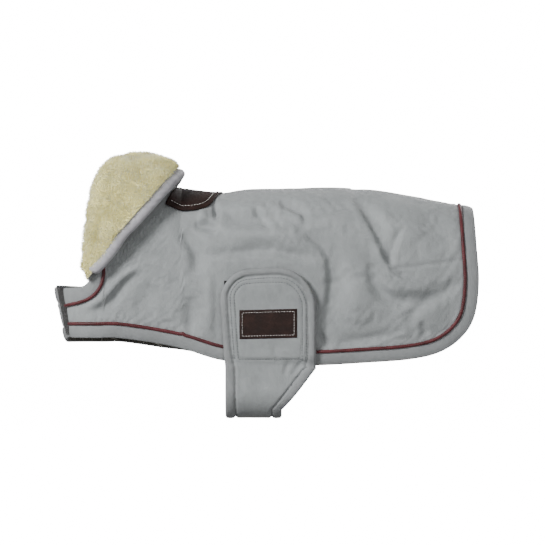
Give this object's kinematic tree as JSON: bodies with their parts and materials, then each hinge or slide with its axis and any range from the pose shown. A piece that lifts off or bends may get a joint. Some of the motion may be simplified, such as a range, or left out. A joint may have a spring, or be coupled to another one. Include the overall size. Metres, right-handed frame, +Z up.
{
  "type": "dog coat",
  "caption": "Padded dog coat in its worn shape, with a turned-down fleece collar, piped hem, lapped chest flaps and a hook-and-loop belly strap.",
  "frame": {"origin": "on the lining's inner face on the back line, above the belly strap, where the dog's back carries the coat", "axes": "-X towards the head, -Y towards the dog's left side, which closes the belly strap, +Z up"},
  "size_m": [0.5027, 0.163, 0.3104],
  "materials": {
    "grey_shell": "coated woven polyester, matt with a slight sheen",
    "grey_band": "woven binding",
    "collar_band": "soft woven binding",
    "wadding": "polyester wadding, matt",
    "lining": "striped woven lining, matt",
    "burgundy_piping": "woven corded piping",
    "fleece": "deep pile, matt",
    "brown_leather": "grained, satin",
    "black_tape": "hook-and-loop tape, matt",
    "elastic": "knitted elastic, matt"
  },
  "bodies": {
    "coat": {"outer_shell": "grey_shell", "body_padding": "wadding", "body_lining": "lining", "edge_band": "grey_band", "edge_piping": "burgundy_piping", "neck_elastic": "elastic", "collar_fleece": "fleece", "collar_backing": "grey_band", "collar_edge_band": "collar_band", "neck_patch": "brown_leather", "flank_loop_patch": "black_tape", "strap_anchor": "grey_band"},
    "chest_left": {"chest_shell_left": "grey_shell", "chest_padding_left": "wadding", "chest_lining_left": "lining", "chest_upper_band_left": "grey_band", "chest_lower_band_left": "grey_band", "chest_upper_piping_left": "burgundy_piping", "chest_lower_piping_left": "burgundy_piping", "chest_hook_strip": "black_tape"},
    "chest_right": {"chest_shell_right": "grey_shell", "chest_padding_right": "wadding", "chest_lining_right": "lining", "chest_upper_band_right": "grey_band", "chest_lower_band_right": "grey_band", "chest_upper_piping_right": "burgundy_piping", "chest_lower_piping_right": "burgundy_piping", "chest_loop_strip": "black_tape"},
    "strap": {"strap_shell": "grey_shell", "strap_padding": "wadding", "strap_lining": "lining", "strap_band_front": "grey_band", "strap_band_rear": "grey_band"},
    "strap_end": {"flap_shell": "grey_shell", "flap_padding": "wadding", "flap_lining": "lining", "flap_band": "grey_band", "flap_hook_patch": "black_tape", "flap_label": "brown_leather"}
  },
  "joints": [
    {"name": "chest_open_left", "type": "hinge", "parent": "coat", "child": "chest_left", "pos_m": [-0.195, -0.0592, -0.14], "axis": [0, 0, 1], "range_deg": [0, 110]},
    {"name": "chest_open_right", "type": "hinge", "parent": "coat", "child": "chest_right", "pos_m": [-0.195, 0.0592, -0.14], "axis": [0, 0, -1], "range_deg": [0, 82.5]},
    {"name": "strap_drop", "type": "hinge", "parent": "coat", "child": "strap", "pos_m": [-0.0122, 0.0505, -0.2056], "axis": [1, 0, 0], "range_deg": [0, 95]},
    {"name": "flap_peel", "type": "hinge", "parent": "strap", "child": "strap_end", "pos_m": [0.004, -0.064, -0.2066], "axis": [1, 0, 0], "range_deg": [0, 150]}
  ],
  "couplings": [
    {"joint": "chest_open_right", "follows": "chest_open_left", "ratio": 0.75}
  ]
}
